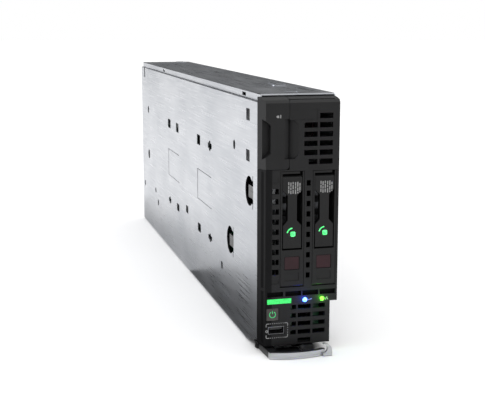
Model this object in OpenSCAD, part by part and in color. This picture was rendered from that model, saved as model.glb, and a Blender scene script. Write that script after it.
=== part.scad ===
// Half-height blade server, standing upright on its narrow lower edge.
// X runs across the blade from the bare side wall (-X) to the access cover (+X),
// Y runs from the bezel (-Y) to the rear connectors (+Y), and Z is up.
// The origin lies under the middle of the box that holds the closed blade.
// Most places below are given from the bezel's front face (y = 0 there).

/* [Overall] */
// Width from the side wall to the access cover
blade_w = 55.4; // [55:0.2:68]
// Height from the bottom runner to the bosses on the top wall
blade_h = 180.6; // [178:0.2:220]
// Depth from the closed release lever to the rear connectors
blade_d = 517.4; // [510:0.2:640]

/* [Chassis] */
// Thickness of the chassis sheet
sheet = 1; // [0.8:0.1:1.2]
// Thickness of the access cover
cover_sheet = 1; // [0.8:0.1:1.2]
// How far the top and bottom runners stand in from the side wall
runner_inset = 2; // [1.5:0.1:2.4]
// Height of the step from the side wall up to the top runner
runner_step = 5; // [4:0.1:6]
// Height of the bosses on the top wall
boss_h = 0.8; // [0.5:0.1:1]
// Gap round parts that move or lift out
gap = 0.3; // [0.2:0.05:0.4]

/* [Bezel] */
// Depth of the bezel moulding
bezel_d = 9; // [8.5:0.1:11]
// Wall thickness of the bezel moulding
bezel_wall = 2; // [1.6:0.1:2.2]
// Height of one cooling slot
vent_h = 3.7; // [3:0.1:4]
// Width of one cooling slot
vent_w = 9.4; // [8:0.1:9.6]
// Distance between rows of cooling slots
vent_pitch = 6.2; // [6:0.1:7.5]
// Side of the square holes beside the drives
square_hole = 3.8; // [3:0.1:4.6]
// Distance between the square holes
square_pitch = 7; // [6.5:0.1:7.1]

/* [Drives] */
// Width of one drive bay
bay_w = 17.1; // [17:0.1:17.6]
// Height of one drive bay
bay_h = 80.8; // [80.8:0.1:90]
// Distance between the middles of the two bays
bay_pitch = 22.9; // [22:0.1:23]
// Height of the bays' lower edge above the bottom
bay_z = 47.5; // [47:0.1:52]
// Width, depth and height of one drive
drive_size = [14.8, 100.4, 69.9];
// Length of a carrier behind the bezel's front face
carrier_d = 121; // [121:1:126]

/* [Release lever] */
// How far the closed lever bulges in front of the bezel
lever_reach = 13.4; // [12:0.1:15]
// Height of the lever's metal bar
lever_h = 4.5; // [3.5:0.1:4.6]
// Radius of the lever's pin
pin_r = 2; // [1.5:0.1:2.4]

/* [Electronics] */
// Height of the board's face above the side wall's inner face
board_stand = 4; // [3:0.1:6]
// Thickness of the system board
board_t = 1.6; // [1.2:0.1:2]
// Length, height and thickness of one memory module
module_size = [133.4, 31.2, 1.2];
// Distance between memory sockets
module_pitch = 9.4; // [9:0.1:9.6]
// Number of fins on one heat sink
fin_count = 19; // [9:1:21]

/* [Hidden] */

eps = 0.01;
round_fn = 32;

// Colours
zinc = "#b4b6b8";
black_plastic = "#2b2b2c";
steel = "#9a9c9e";
dark_steel = "#3a3b3d";
board_green = "#1f4a35";
gold = "#c9a24a";
burgundy = "#5a1e2e";
connector_black = "#1c1c1e";

// Box planes, in the bezel's own frame (y = 0 at its front face)
half_w = blade_w / 2;
top_z = blade_h - boss_h;
rear_y = blade_d - lever_reach;
pan_y = bezel_d + 0.1;
wall_low = 1;
wall_high = top_z - runner_step;
wall_in = -half_w + sheet;
cover_in = half_w - cover_sheet;
bezel_low = 6.4;
bezel_high = top_z - 1.7;
bezel_front_high = bezel_high - 2.1;

// Drives
bay_x = [half_w - 1.6 - bay_w / 2 - bay_pitch, half_w - 1.6 - bay_w / 2];
bay_top = bay_z + bay_h;
bay_mid = bay_z + bay_h / 2;
carrier_w = bay_w - 2 * gap;
carrier_low = bay_z + gap;
carrier_high = bay_top - gap;
lever_pivot = [4.2, bay_top - 7.9];
lever_low = bay_top - 53.3;
drive_y = [15.2, 15.2 + drive_size[1]];
plug_depth = 5;
carrier_pin_r = 1;

// Pull-out tab
tab_low = bay_top + 1.3;
tab_right = -half_w + 19.8;
tab_tray_d = 56;
tab_card_z = [tab_low + 4, wall_high - sheet - 4];

// Front panel rows
lens_z = 38;
lens_low = 36.3;
window_z = [41.2, 44.7];
power_x = -half_w + 8.8;
power_z = 28.8;
power_w = 8.6;
port_x = -half_w + 11.6;
port_z = 17.2;
port_size = [11.6, 5.4];
port_depth = 17;
step_in = half_w - 5.2;
step_z = 36.2;

// Release lever
pivot = [-half_w + 6.2, 18];
lever_low_z = 0.3;
lever_bar_t = 2.4;
lever_end_x = step_in - 7;
bracket_z = lever_low_z + lever_h + 0.6;
bracket_t = 1;
well_y = 38;
bracket_screw_x = [-half_w + 8, 0, half_w - 11.5];
bracket_screw_y = well_y + 9;
bracket_screw_r = 1.5;

// Board and its cards
board_x = wall_in + board_stand;
board_face = board_x + board_t;
board_y = 66;
board_rear = rear_y - 16;
board_low = 4;
board_high = top_z - 4.3;
socket_l = module_size[0] + 8.8;
socket_w = 6.5;
socket_h = 8;
module_seat = 2.5;
bank_y = [80, 80 + socket_l + 8];
bank_low = 12;
bank_high = top_z - 43.3;
sink_gap = 3.4;
sink_size = [28, 80, bank_high - bank_low - 3 * module_pitch - socket_w - 2 * sink_gap];
sink_z = (bank_high + bank_low + 3 * module_pitch) / 2;
mid_z = sink_z + 0.5;
sink_y = [138, 138 + sink_size[1] + 16];
processor_h = 5.5;
baffle_x = board_face + module_seat + module_size[1] + 1.2;
card_x = board_face + 12;
card_rear = board_rear - 9;
small_card_y = bank_y[1] + socket_l - 46;
mezz_y = bank_y[1] + socket_l + 10;

// Cut-outs in the side wall: kind, distance behind the bezel, height, length and width
side_row_high = wall_high - 47.6;
side_row_low = 50.6;
side_cuts = [
    ["oval", 461.5, wall_high - 44.7, 7.6, 7.6],
    ["oval", 461, 80.8, 12, 9.5],
    ["oval", 491.5, 43.4, 6.5, 6.5],
    ["oval", 421, 46.6, 6.8, 5.4],
    ["oval", 406, 35.6, 7, 6.6],
    ["oval", 73.2, wall_high - 36.5, 6.2, 7],
    ["oval", 113.8, 37.4, 6.2, 6.2],
    ["slot", 336, side_row_high, 14, 8.6],
    ["slot", 294.7, side_row_high, 12.6, 8.6],
    ["slot", 198.6, side_row_high, 13, 8.6],
    ["key", 155.2, side_row_high, 14, 8.6],
    ["slot", 33.7, wall_high - 10.7, 9.6, 8.4],
    ["slot", 33.9, wall_high - 39.4, 9.6, 8.2],
    ["key", 336.5, side_row_low, 12, 7.4],
    ["slot", 294.5, side_row_low, 11.6, 7],
    ["slot", 250.8, 56.9, 10.4, 6.8],
    ["slot", 198, side_row_low, 12, 7.4],
    ["key", 155.4, side_row_low, 14, 7.4]];
// Lanced flaps in the side wall: rear end, lower edge, length and height
side_flaps = [[342, 75.6, 55, 26.3], [204.4, 75.6, 55, 26.3]];
// Round windows with a spring tab: rear-most edge, middle height, diameter
side_windows = [[40.5, 110.9, 21], [96.4, 64, 21]];

// ---- Shapes that repeat ----

// Everything is drawn from the bezel's front face and then moved to the origin
module placed() {
    translate([0, lever_reach - blade_d / 2, 0]) children();
}

// A box from its lowest corner to its highest
module block(low, high) {
    translate(low) cube(high - low);
}

// A flat shape in X and Z, drawn at y and running back by length
module along_y(y, length) {
    translate([0, y + length, 0]) rotate([90, 0, 0]) linear_extrude(length) children();
}

// A flat shape in Y and Z, drawn at x and running across by length
module along_x(x, length) {
    translate([x, 0, 0]) rotate([90, 0, 90]) linear_extrude(length) children();
}

// A flat shape in X and Y, drawn at z and running up by height
module along_z(z, height) {
    translate([0, 0, z]) linear_extrude(height) children();
}

// A rectangle from its lowest to its highest corner, with round corners
module soft_rect(low, high, r) {
    translate([low[0] + r, low[1]]) square([high[0] - low[0] - 2 * r, high[1] - low[1]]);
    translate([low[0], low[1] + r]) square([high[0] - low[0], high[1] - low[1] - 2 * r]);
    for (x = [low[0] + r, high[0] - r], z = [low[1] + r, high[1] - r])
        translate([x, z]) circle(r, $fn = round_fn);
}

// Sheet metal bent along a line of points, as it looks from its end
module bent_sheet(points, thickness) {
    for (i = [0 : len(points) - 2]) {
        step = points[i + 1] - points[i];
        translate(points[i]) rotate(atan2(step[1], step[0]))
            translate([0, -thickness / 2]) square([norm(step), thickness]);
    }
    for (i = [1 : len(points) - 2])
        translate(points[i]) circle(thickness / 2, $fn = round_fn);
}

// A round rod between two heights
module rod_z(x, y, low, high, r) {
    translate([x, y, low]) cylinder(h = high - low, r = r, $fn = round_fn);
}

module rod_x(y, z, low, high, r) {
    translate([low, y, z]) rotate([0, 90, 0]) cylinder(h = high - low, r = r, $fn = round_fn);
}

module rod_y(x, z, low, high, r) {
    translate([x, high, z]) rotate([90, 0, 0]) cylinder(h = high - low, r = r, $fn = round_fn);
}

// ---- Chassis ----

// Middle line of the bent pan, from the top wall's free edge round to the bottom wall's
pan_line = [
    [cover_in - gap, top_z - sheet / 2],
    [-half_w + runner_inset + sheet / 2, top_z - sheet / 2],
    [-half_w + runner_inset + sheet / 2, wall_high - sheet / 2],
    [-half_w + sheet / 2, wall_high - sheet / 2],
    [-half_w + sheet / 2, wall_low + sheet / 2],
    [-half_w + runner_inset + sheet / 2, wall_low + sheet / 2],
    [-half_w + runner_inset + sheet / 2, sheet / 2],
    [cover_in - gap, sheet / 2]];

module side_cut(kind, length, width) {
    if (kind == "oval")
        soft_rect([-length / 2, -width / 2], [length / 2, width / 2], min(length, width) / 2 - 0.1);
    if (kind == "slot")
        soft_rect([-length / 2, -width / 2], [length / 2, width / 2], 0.8);
    if (kind == "key") {
        circle(width / 2, $fn = round_fn);
        translate([-length / 2, -width / 4]) square([length, width / 2]);
    }
}

// A flap lanced free on three sides: one upright slit and two thin ones behind the bend
module flap_slits(flap) {
    slit = 1.6;
    thin = 0.5;
    translate([flap[0] - slit, flap[1]]) square([slit, flap[3]]);
    translate([flap[0] - flap[2], flap[1] + flap[3] - thin]) square([flap[2], thin]);
    translate([flap[0] - flap[2], flap[1]]) square([flap[2], thin]);
}

// A round window that leaves a spring tab, with relief slits above and below it
module tab_window(window) {
    r = window[2] / 2;
    difference() {
        union() {
            translate([window[0] - r, window[1]]) circle(r, $fn = 48);
            translate([window[0] - 2 * r, window[1] - r * 0.77]) square([r, r * 1.54]);
            translate([window[0] - 2 * r + 0.6, window[1] - r * 1.12]) square([1.2, r * 2.24]);
        }
        translate([window[0] - 2 * r - 5.4, window[1] - r * 0.42]) square([r + 7, r * 0.84]);
    }
}

module chassis_pan() {
    color(zinc) placed() difference() {
        union() {
            along_y(pan_y, rear_y - pan_y) bent_sheet(pan_line, sheet);
            // Raised bosses on the top wall
            for (y = [rear_y - 21, 104])
                block([half_w - 18.4, y - 9, top_z - eps], [half_w - 10.2, y + 9, blade_h]);
            rod_z(half_w - 17.8, 86, top_z - eps, blade_h, 5);
            // Formed tabs inside the round windows
            for (w = side_windows)
                block([-half_w, w[0] - w[2] - 1, w[1] - 3.6], [-half_w + sheet, w[0] - w[2] + 9, w[1] + 3.6]);
        }
        for (c = side_cuts)
            along_x(-half_w - 1, sheet + 2) translate([c[1], c[2]]) side_cut(c[0], c[3], c[4]);
        for (f = side_flaps)
            along_x(-half_w - 1, sheet + 2) flap_slits(f);
        for (w = side_windows)
            along_x(-half_w - 1, sheet + 2) tab_window(w);
        // L-shaped notch at the rear end of the runner step
        block([-half_w - 1, rear_y - 23, wall_high - 10.5], [-half_w + runner_inset - eps, rear_y - 17, wall_high + 1]);
        block([-half_w - 1, rear_y - 30, wall_high - 1.4], [-half_w + runner_inset - eps, rear_y - 17, wall_high + 1]);
        // Notches through the runner's upright
        for (y = [52, 372])
            block([-half_w + runner_inset - 1, y - 5, wall_high + 1], [-half_w + runner_inset + sheet + 1, y + 5, top_z - 1.5]);
        // Slots across the top wall and the round dimple behind the bezel
        for (y = [130, 278])
            along_z(top_z - 2, 3) soft_rect([-half_w + 29, y - 1.8], [half_w - 8, y + 1.8], 1.6);
        rod_z(0.5, 26, top_z - 0.5, top_z + 1, 5.6);
        rod_z(0.5, 26, top_z - 2, top_z + 1, 2.2);
        for (x = [half_w - 25.6, half_w - 22.6], y = [76, 82])
            rod_z(x, y, top_z - 2, top_z + 1, 0.9);
        block([half_w - 10.6, 366, top_z - 2], [half_w, 388, top_z + 2]);
        // The side wall's lower front corner slopes up to clear the release lever
        along_x(-half_w - 1, runner_inset + sheet + 2)
            polygon([[pan_y - 1, -1], [well_y - 1, -1], [well_y - 1, wall_low], [pan_y - 1, 9.2]]);
        // Well in the bottom wall for the release lever
        block([-half_w - 1, pan_y - 1, -1], [half_w, well_y, wall_low + sheet + eps]);
        block([-half_w + sheet, pan_y - 1, -1], [half_w, well_y, bracket_z + bracket_t + 0.2]);
        // Holes for the screws that hold the lever bracket
        for (x = bracket_screw_x)
            rod_z(x, bracket_screw_y, -1, sheet + 1, bracket_screw_r + 0.1);
    }
}

module access_cover() {
    plate_low = wall_low + gap;
    flange = 6;
    color(zinc) placed() difference() {
        union() {
            along_x(cover_in, cover_sheet)
                soft_rect([pan_y + 1, plate_low], [rear_y - 2, top_z - gap], 1.5);
            // Flanges that run inside the top and bottom walls
            block([cover_in - flange, pan_y + 32, top_z - 2 * sheet - gap],
                [cover_in + eps, rear_y - 12, top_z - sheet - gap]);
            block([cover_in - flange, well_y + 8, sheet + gap],
                [cover_in + eps, rear_y - 12, 2 * sheet + gap]);
        }
        // Lower front corner stays clear of the stepped bezel
        block([cover_in - 1, pan_y - 1, -1], [half_w + 1, well_y + 4, step_z - 2]);
        // Opening for the release button
        rod_x(60, top_z - 28, cover_in - 1, half_w + 1, 7 + gap);
        // Finger dimples to push the cover back
        for (z = [60, 80, 100])
            rod_x(60, z, half_w - 0.5, half_w + 1, 5);
    }
}

module cover_button() {
    color(burgundy) placed() {
        rod_x(60, top_z - 28, cover_in - gap - eps, half_w - 0.1, 7);
        rod_x(60, top_z - 28, cover_in - gap - 1, cover_in - gap, 9);
    }
}

// Shoulder screws that guide the cover's flanges from inside the walls, and the screws of the lever bracket
module chassis_screws() {
    head_t = 1.2;
    low_seat = 2 * sheet + 2 * gap;
    high_seat = top_z - low_seat;
    color(steel) placed() {
        for (y = [150, 330]) {
            rod_z(cover_in - 9, y, sheet, low_seat + head_t, 1.5);
            rod_z(cover_in - 9, y, low_seat, low_seat + head_t, 3);
            rod_z(cover_in - 9, y, high_seat - head_t, top_z - sheet, 1.5);
            rod_z(cover_in - 9, y, high_seat - head_t, high_seat, 3);
        }
        for (x = bracket_screw_x) {
            rod_z(x, bracket_screw_y, gap, sheet + bracket_t + head_t, bracket_screw_r);
            rod_z(x, bracket_screw_y, sheet + bracket_t, sheet + bracket_t + head_t, bracket_screw_r + 1.4);
        }
    }
}

// Honeycomb sheet that lets the warm air out at the rear
module rear_grille() {
    cell = 3.1;
    pitch = 7;
    x_low = board_face + 26;
    x_high = cover_in - gap - 0.6;
    rows = floor((top_z - 16) / (pitch * 0.866));
    cols = floor((x_high - x_low - 3) / pitch);
    color(steel) placed() difference() {
        union() {
            block([x_low, board_rear + 2, 2 * sheet + 2 * gap], [x_high, board_rear + 3, top_z - 2 * sheet - 2 * gap]);
            for (z = [sheet, top_z - 2 * sheet - 2 * gap])
                block([x_low, board_rear + 2, z], [x_high - 6, board_rear + 3, z + sheet + 2 * gap]);
            // Feet that stand on the pan's bottom wall and reach its top wall
            block([x_low, board_rear + 2, sheet], [x_low + 12, board_rear + 9, sheet * 2]);
            block([x_low, board_rear + 2, top_z - 2 * sheet], [x_low + 12, board_rear + 9, top_z - sheet]);
        }
        for (row = [0 : rows - 1], col = [0 : cols - 1])
            translate([x_low + 4.4 + col * pitch + (row % 2) * pitch / 2, board_rear + 5, 9.5 + row * pitch * 0.866])
                if (x_low + 4.4 + col * pitch + (row % 2) * pitch / 2 < x_high - cell - 0.6)
                    rotate([90, 0, 0]) cylinder(h = 6, r = cell, $fn = 6);
    }
}

// ---- Bezel ----

// Outline of the front face: the lower right corner steps in round the enclosure's latch
module bezel_outline(inset = 0) {
    difference() {
        soft_rect([-half_w + inset, bezel_low + inset], [half_w - inset, bezel_high - inset], 2);
        translate([step_in - inset, 0]) square([half_w, step_z + inset]);
    }
    translate([-half_w + inset, bezel_low + 20]) square([10, bezel_high - bezel_low - 22]);
}

module vent_rows() {
    right_x = half_w - 4.8 - vent_w;
    left_x = right_x - vent_w - 1.5;
    top_row = bezel_high - 12.8;
    for (row = [0 : 5])
        translate([right_x, top_row - row * vent_pitch - vent_h / 2]) square([vent_w, vent_h]);
    for (row = [1 : 4])
        translate([left_x, top_row - row * vent_pitch - vent_h / 2]) square([vent_w, vent_h]);
    translate([left_x + 3.2, top_row - 5 * vent_pitch - vent_h / 2]) square([vent_w - 3.2, vent_h]);
}

module lower_vent_rows() {
    slot_h = vent_h - 0.4;
    mid_x = step_in - 23.3;
    for (row = [0 : 4]) {
        z = 33.2 - row * vent_pitch * 0.97 - slot_h / 2;
        translate([mid_x, z]) square([vent_w, slot_h]);
        if (row < 4) {
            translate([mid_x - 5.3, z]) square([4.1, slot_h]);
            translate([mid_x + vent_w + 1.4, z]) square([vent_w - 0.4, slot_h]);
        }
    }
}

module bezel_squares() {
    left_x = bay_x[0] - bay_w / 2 - 5.6;
    for (i = [1 : 9])
        translate([left_x, bay_z + 4.3 + i * square_pitch - square_hole / 2]) square([4.7, square_hole]);
    mid_x = (bay_x[0] + bay_x[1]) / 2 - 1.4;
    for (i = [0 : 9])
        translate([mid_x, bay_z + 8 + i * (square_pitch + 0.15) - square_hole / 2]) square([2.8, square_hole]);
}

module window_row() {
    for (x = [-half_w + 4.9, -half_w + 17.8, -half_w + 30.2, -half_w + 42.6])
        translate([x, window_z[0]]) square([min(11.4, half_w - 1.2 - x), window_z[1] - window_z[0]]);
}

module bezel() {
    scoop_low = tab_low + 6.8;
    scoop_high = bezel_high - 15.4;
    color(black_plastic) placed() difference() {
        along_y(0, bezel_d) bezel_outline();
        // Hollow from behind, leaving the front wall and the rim
        difference() {
            along_y(bezel_wall, bezel_d) bezel_outline(bezel_wall - 0.4);
            // Webs that stay round the drives
            block([-half_w, 0, bay_z - 2], [half_w, bezel_d, bay_z + eps]);
            block([-half_w, 0, bay_top - eps], [half_w, bezel_d, bay_top + 1.2]);
            block([tab_right, 0, scoop_low - 1.4], [tab_right + 8.6, bezel_d, scoop_high + 1.4]);
        }
        // Side bevel from the pan's edge to the front face
        along_z(0, blade_h) polygon([[-half_w - 1, -1], [-half_w + 3.4, -1], [-half_w + 3.4, 0], [-half_w, bezel_d - eps],
            [-half_w - 1, bezel_d - eps]]);
        // Top face slopes down to a chamfered front edge
        along_x(-half_w - 1, blade_w + 2) polygon([[-1, bezel_front_high - 1.8], [0, bezel_front_high - 1.8],
            [1.4, bezel_front_high], [bezel_d, bezel_high], [bezel_d, bezel_high + 2], [-1, bezel_high + 2]]);
        // Corner for the pull-out tab
        block([-half_w - 1, -1, tab_low - gap], [tab_right + gap, bezel_d + 1, bezel_high + 2]);
        // Drive bays
        for (x = bay_x)
            block([x - bay_w / 2, -1, bay_z], [x + bay_w / 2, bezel_d + 1, bay_top]);
        along_y(-1, bezel_wall + 2) vent_rows();
        along_y(-1, bezel_wall + 2) lower_vent_rows();
        along_y(-1, bezel_wall + 2) bezel_squares();
        along_y(-1, bezel_wall + 2) window_row();
        // Blind outlines at both ends of the left row of squares
        for (z = [bay_z + 4.3, bay_z + 4.3 + 10 * square_pitch])
            along_y(-1, 1.4) translate([bay_x[0] - bay_w / 2 - 5.6, z - 1.4]) square([4.7, 2.8]);
        // Finger scoop beside the tab: its floor slopes down toward the seam
        intersection() {
            along_z(scoop_low, scoop_high - scoop_low) polygon([[tab_right - 1, -1], [tab_right + 6.7, -1],
                [tab_right + 6.7, 0], [tab_right + 3, 2.4], [tab_right - 1, 5.4]]);
            along_y(-1, bezel_d) polygon([[tab_right - 1, scoop_low], [tab_right + 3.6, scoop_low],
                [tab_right + 6.8, scoop_low + 3.6], [tab_right + 6.8, scoop_high - 3.6],
                [tab_right + 3.6, scoop_high], [tab_right - 1, scoop_high]]);
        }
        // Shallow bare plate above the left slots
        along_y(-1, 1.3) soft_rect([-half_w + 21.7, bezel_high - 15.4], [-half_w + 39.7, bezel_high - 8.1], 0.6);
        // Openings for the light pipes, the power button and the service port
        block([-half_w + 4.9 - 0.1, -1, lens_low - 0.1], [-half_w + 22.1 + 0.1, bezel_wall + 1, lens_low + 3.4 + 0.1]);
        for (x = [id_x, network_x])
            rod_y(x, lens_z, -1, bezel_wall + 1, 1.7);
        along_y(-1, bezel_wall + 2) translate([power_x, power_z])
            soft_rect([-power_w / 2 - gap, -power_w / 2 - gap], [power_w / 2 + gap, power_w / 2 + gap], 1);
        along_y(-1, bezel_wall + 2) translate([port_x, port_z])
            square([port_size[0] + 2 * gap, port_size[1] + 2 * gap], center = true);
    }
}

id_x = -half_w + 32;
network_x = -half_w + 44.6;

// The tab's outline: one corner is round, and its left side shares the bezel's bevel
module tab_face() {
    low = tab_low;
    difference() {
        translate([-half_w, low]) square([tab_right + half_w, bezel_high - low]);
        translate([tab_right - 2.4, low - 1]) square([3, 3.4]);
    }
    translate([tab_right - 2.4, low + 2.4]) circle(2.4, $fn = round_fn);
}

module info_tab() {
    pocket_low = tab_low + 6.9;
    pocket_high = bezel_high - 14.6;
    color(black_plastic) placed() {
        difference() {
            along_y(0, bezel_d) tab_face();
            along_z(0, blade_h) polygon([[-half_w - 1, -1], [-half_w + 3.4, -1], [-half_w + 3.4, 0], [-half_w, bezel_d - eps],
                [-half_w - 1, bezel_d - eps]]);
            along_x(-half_w - 1, blade_w + 2) polygon([[-1, bezel_front_high - 1.8], [0, bezel_front_high - 1.8],
                [1.4, bezel_front_high], [bezel_d, bezel_high], [bezel_d, bezel_high + 2], [-1, bezel_high + 2]]);
            // Trapezoid finger pocket on the left
            along_y(-1, 6.5) polygon([[-half_w + 1.9, pocket_low], [-half_w + 6.9, pocket_low + 4],
                [-half_w + 6.9, pocket_high - 4], [-half_w + 1.9, pocket_high]]);
            // Right edge slopes into the bezel's scoop
            along_z(pocket_low, pocket_high - pocket_low)
                polygon([[tab_right - 3.6, -0.01], [tab_right + 1, -0.01], [tab_right + 1, 2.6], [tab_right, 2.2]]);
        }
        // Thin card behind the tab, which carries the serial number on such machines
        block([-half_w + 4.6, bezel_d - eps, tab_card_z[0]], [-half_w + 6.2, tab_tray_d, tab_card_z[1]]);
        block([-half_w + 4.6, bezel_d - eps, tab_card_z[0]], [-half_w + 12, bezel_d + 3, tab_card_z[1]]);
    }
}

// Two channels on the pan's side wall in which the card slides
module tab_guide() {
    low = tab_card_z[0];
    high = tab_card_z[1];
    x = -half_w + 4.6;
    color(black_plastic) placed() {
        for (z = [low, high]) difference() {
            block([wall_in, bezel_d + 8, z - 3], [x + 1.6 + 2, tab_tray_d + 2, z + 3]);
            block([x - gap, bezel_d + 7, low - gap], [x + 1.6 + gap, tab_tray_d + gap, high + gap]);
        }
        // Base that joins the channels on the wall
        block([wall_in, bezel_d + 8, low - 3], [wall_in + 1.5, tab_tray_d + 2, high + 3]);
    }
}

module status_bar_lens() {
    color("#39e06a") placed() {
        block([-half_w + 4.9, 0, lens_low], [-half_w + 22.1, bezel_wall + 1, lens_low + 3.4]);
        block([-half_w + 6.9, bezel_wall + 1 - eps, lens_low + 0.7], [-half_w + 20.1, panel_y, lens_low + 2.7]);
    }
}

module light_pipe(x) {
    rod_y(x, lens_z, 0, bezel_wall + 1, 1.6);
    rod_y(x, lens_z, bezel_wall + 1 - eps, panel_y, 1.1);
}

module id_lens() {
    color("#4aa8ff") placed() light_pipe(id_x);
}

module network_lens() {
    color("#7be04a") placed() light_pipe(network_x);
}

// Folded metal shell of the service port, open at the front
module front_port_shell() {
    color(steel) placed() translate([port_x, 0, port_z]) difference() {
        block([-port_size[0] / 2, 1, -port_size[1] / 2], [port_size[0] / 2, port_depth, port_size[1] / 2]);
        block([-port_size[0] / 2 + 0.35, 0, -port_size[1] / 2 + 0.35],
            [port_size[0] / 2 - 0.35, port_depth - 1, port_size[1] / 2 - 0.35]);
    }
}

module front_port_tongue() {
    color("#e8e8ea") placed() translate([port_x, 0, port_z])
        block([-port_size[0] / 2 + 1.2, 3, 0.1], [port_size[0] / 2 - 1.2, port_depth - 1, 1.9]);
}

// Small board behind the lights, the power button and the service port
panel_y = 12;
module front_panel_board() {
    color(board_green) placed() difference() {
        block([wall_in + 0.4, panel_y, 12], [step_in - 4, panel_y + 1.6, lens_z + 5]);
        block([port_x - port_size[0] / 2 - 0.1, panel_y - 1, 11],
            [port_x + port_size[0] / 2 + 0.1, panel_y + 3, port_z + port_size[1] / 2 + 0.1]);
        // Open field that keeps the air path to the lower slots free
        block([step_in - 23.9, panel_y - 1, 11], [step_in - 9, panel_y + 3, lens_z - 4.4]);
    }
}

module power_switch() {
    color(connector_black) placed() translate([power_x, 0, power_z]) {
        block([-3, 8.4, -3], [3, panel_y, 3]);
        rod_y(0, 0, 7.4, 8.4 + eps, 1.6);
    }
}

module power_button() {
    color("#4a4c4e") placed() translate([power_x, 0, power_z]) {
        along_y(0.4, 4) soft_rect([-power_w / 2, -power_w / 2], [power_w / 2, power_w / 2], 0.8);
        along_y(3.4, 1) soft_rect([-power_w / 2 - 0.9, -power_w / 2 - 0.9], [power_w / 2 + 0.9, power_w / 2 + 0.9], 0.8);
        rod_y(0, 0, 4.4 - eps, 5.9, 2);
    }
}

// ---- Release lever ----

// Pressed bracket that carries the pivot and closes the well in the bottom wall
module lever_bracket() {
    color(dark_steel) placed() difference() {
        union() {
            block([wall_in, pan_y + 0.2, bracket_z], [cover_in - gap - 7, well_y + 3, bracket_z + bracket_t]);
            block([wall_in + 2.2, well_y + 2, sheet], [cover_in - gap - 7, well_y + 3, bracket_z + bracket_t]);
            block([wall_in + 2.2, well_y + 2, sheet], [cover_in - gap - 7, well_y + 14, sheet + bracket_t]);
            // Nose that reaches forward under the bezel to hold the catch
            block([-4, 3, bracket_z], [step_in - 5, pan_y + 0.2 + eps, bracket_z + bracket_t]);
        }
        rod_z(pivot[0], pivot[1], 0, 10, pin_r);
        for (x = bracket_screw_x)
            rod_z(x, bracket_screw_y, -1, 4, bracket_screw_r + 0.1);
    }
}

module lever_pin() {
    color(steel) placed() {
        rod_z(pivot[0], pivot[1], lever_low_z + 0.8, bracket_z + bracket_t + 0.6, pin_r);
        rod_z(pivot[0], pivot[1], 0, lever_low_z + 0.8, pin_r + 1.4);
        rod_z(pivot[0], pivot[1], bracket_z + bracket_t, bracket_z + bracket_t + 0.8, pin_r + 1);
    }
}

// The front bar is an arc whose foremost point lies lever_reach in front of the bezel
bar_left = [-half_w + 3.9, -9.4];
bar_apex = bar_left[0] + 20.8;
bar_sag = lever_reach + bar_left[1];
bar_r = (pow(bar_apex - bar_left[0], 2) + pow(bar_sag, 2)) / (2 * bar_sag);

// One layer of the bar, between two depths behind its bright face
module bar_layer(outer, inner, right_x) {
    intersection() {
        difference() {
            translate([bar_apex, bar_r - lever_reach]) circle(bar_r - outer, $fn = 180);
            translate([bar_apex, bar_r - lever_reach]) circle(bar_r - inner, $fn = 180);
        }
        translate([bar_left[0], -lever_reach - 1]) square([right_x - bar_left[0], bar_r]);
        translate([-half_w, -lever_reach - 1]) square([blade_w, lever_reach - 5]);
    }
}

// Black arm: hub on the pin and the side piece that reaches forward to the bar
module release_lever() {
    hub_r = pin_r + 3;
    color(dark_steel) placed() difference() {
        union() {
            rod_z(pivot[0], pivot[1], lever_low_z, lever_low_z + lever_h, hub_r);
            along_z(lever_low_z, lever_h) polygon([[pivot[0] - 3.3, pivot[1] + 2], [-half_w + 2.9, 10],
                [bar_left[0], bar_left[1] + 2.7], [bar_left[0] + 6, -7.4], [pivot[0] + 4.4, 8],
                [pivot[0] + 4, pivot[1] + 2]]);
            // Inner rib that backs the metal bar
            along_z(lever_low_z + 0.4, lever_h - 0.8) bar_layer(lever_bar_t, lever_bar_t + 2.2, lever_end_x);
        }
        rod_z(pivot[0], pivot[1], -1, 10, pin_r + 0.05);
        rod_z(pivot[0], pivot[1], -1, lever_low_z + 0.9, pin_r + 1.7);
    }
}

// Bright bar with a curled finger grip at its free end
module lever_grip() {
    curl_r = 6;
    curl_z = lever_low_z + 3.2;
    tab_t = 2.2;
    color("#c8cacc") placed() {
        along_z(lever_low_z, lever_h) bar_layer(0, lever_bar_t, lever_end_x + 0.5);
        // Tab that carries on past the bar and curls up and back to the left
        along_y(-lever_reach + 0.9, tab_t) difference() {
            union() {
                translate([lever_end_x - 0.5, lever_low_z]) square([curl_r - 0.5, curl_z - lever_low_z]);
                translate([lever_end_x - 1, curl_z]) circle(curl_r, $fn = 48);
            }
            translate([lever_end_x - 1 - 2 * curl_r, lever_low_z - curl_r]) square([2 * curl_r - 0.5, 3 * curl_r]);
            translate([lever_end_x - 3, lever_low_z - curl_r]) square([3 * curl_r, curl_r]);
            translate([lever_end_x - 1.6, curl_z + 2.1]) circle(curl_r - 2.8, $fn = 40);
        }
    }
}

// Sprung catch beside the free end of the lever
catch_x = [lever_end_x - 11.4, lever_end_x - 4.6];
module release_catch() {
    color(steel) placed() {
        block([catch_x[0], -1.5, 1.2], [catch_x[1], 5, bracket_z - gap]);
        block([catch_x[0] - 2.4, 0.5, 2.2], [catch_x[0] + eps, 4, bracket_z - gap]);
        block([catch_x[1] - eps, 3, 1.2], [catch_x[1] + 1.6, 5, bracket_z - gap]);
        block([catch_x[0] + 1, 5 - eps, 2], [catch_x[0] + 3, 14, 4]);
    }
}

// Rail screwed under the bracket, in which the catch's tail runs
module catch_rail() {
    color(dark_steel) placed() difference() {
        block([catch_x[0] - 5.5, 9.6, 1.4], [catch_x[1] + 1.6, 17, bracket_z]);
        block([catch_x[0] - 3, 9, 2 - gap], [catch_x[0] + 3 + gap, 14 + gap, 4 + gap]);
    }
}

// ---- Drives ----

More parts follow.
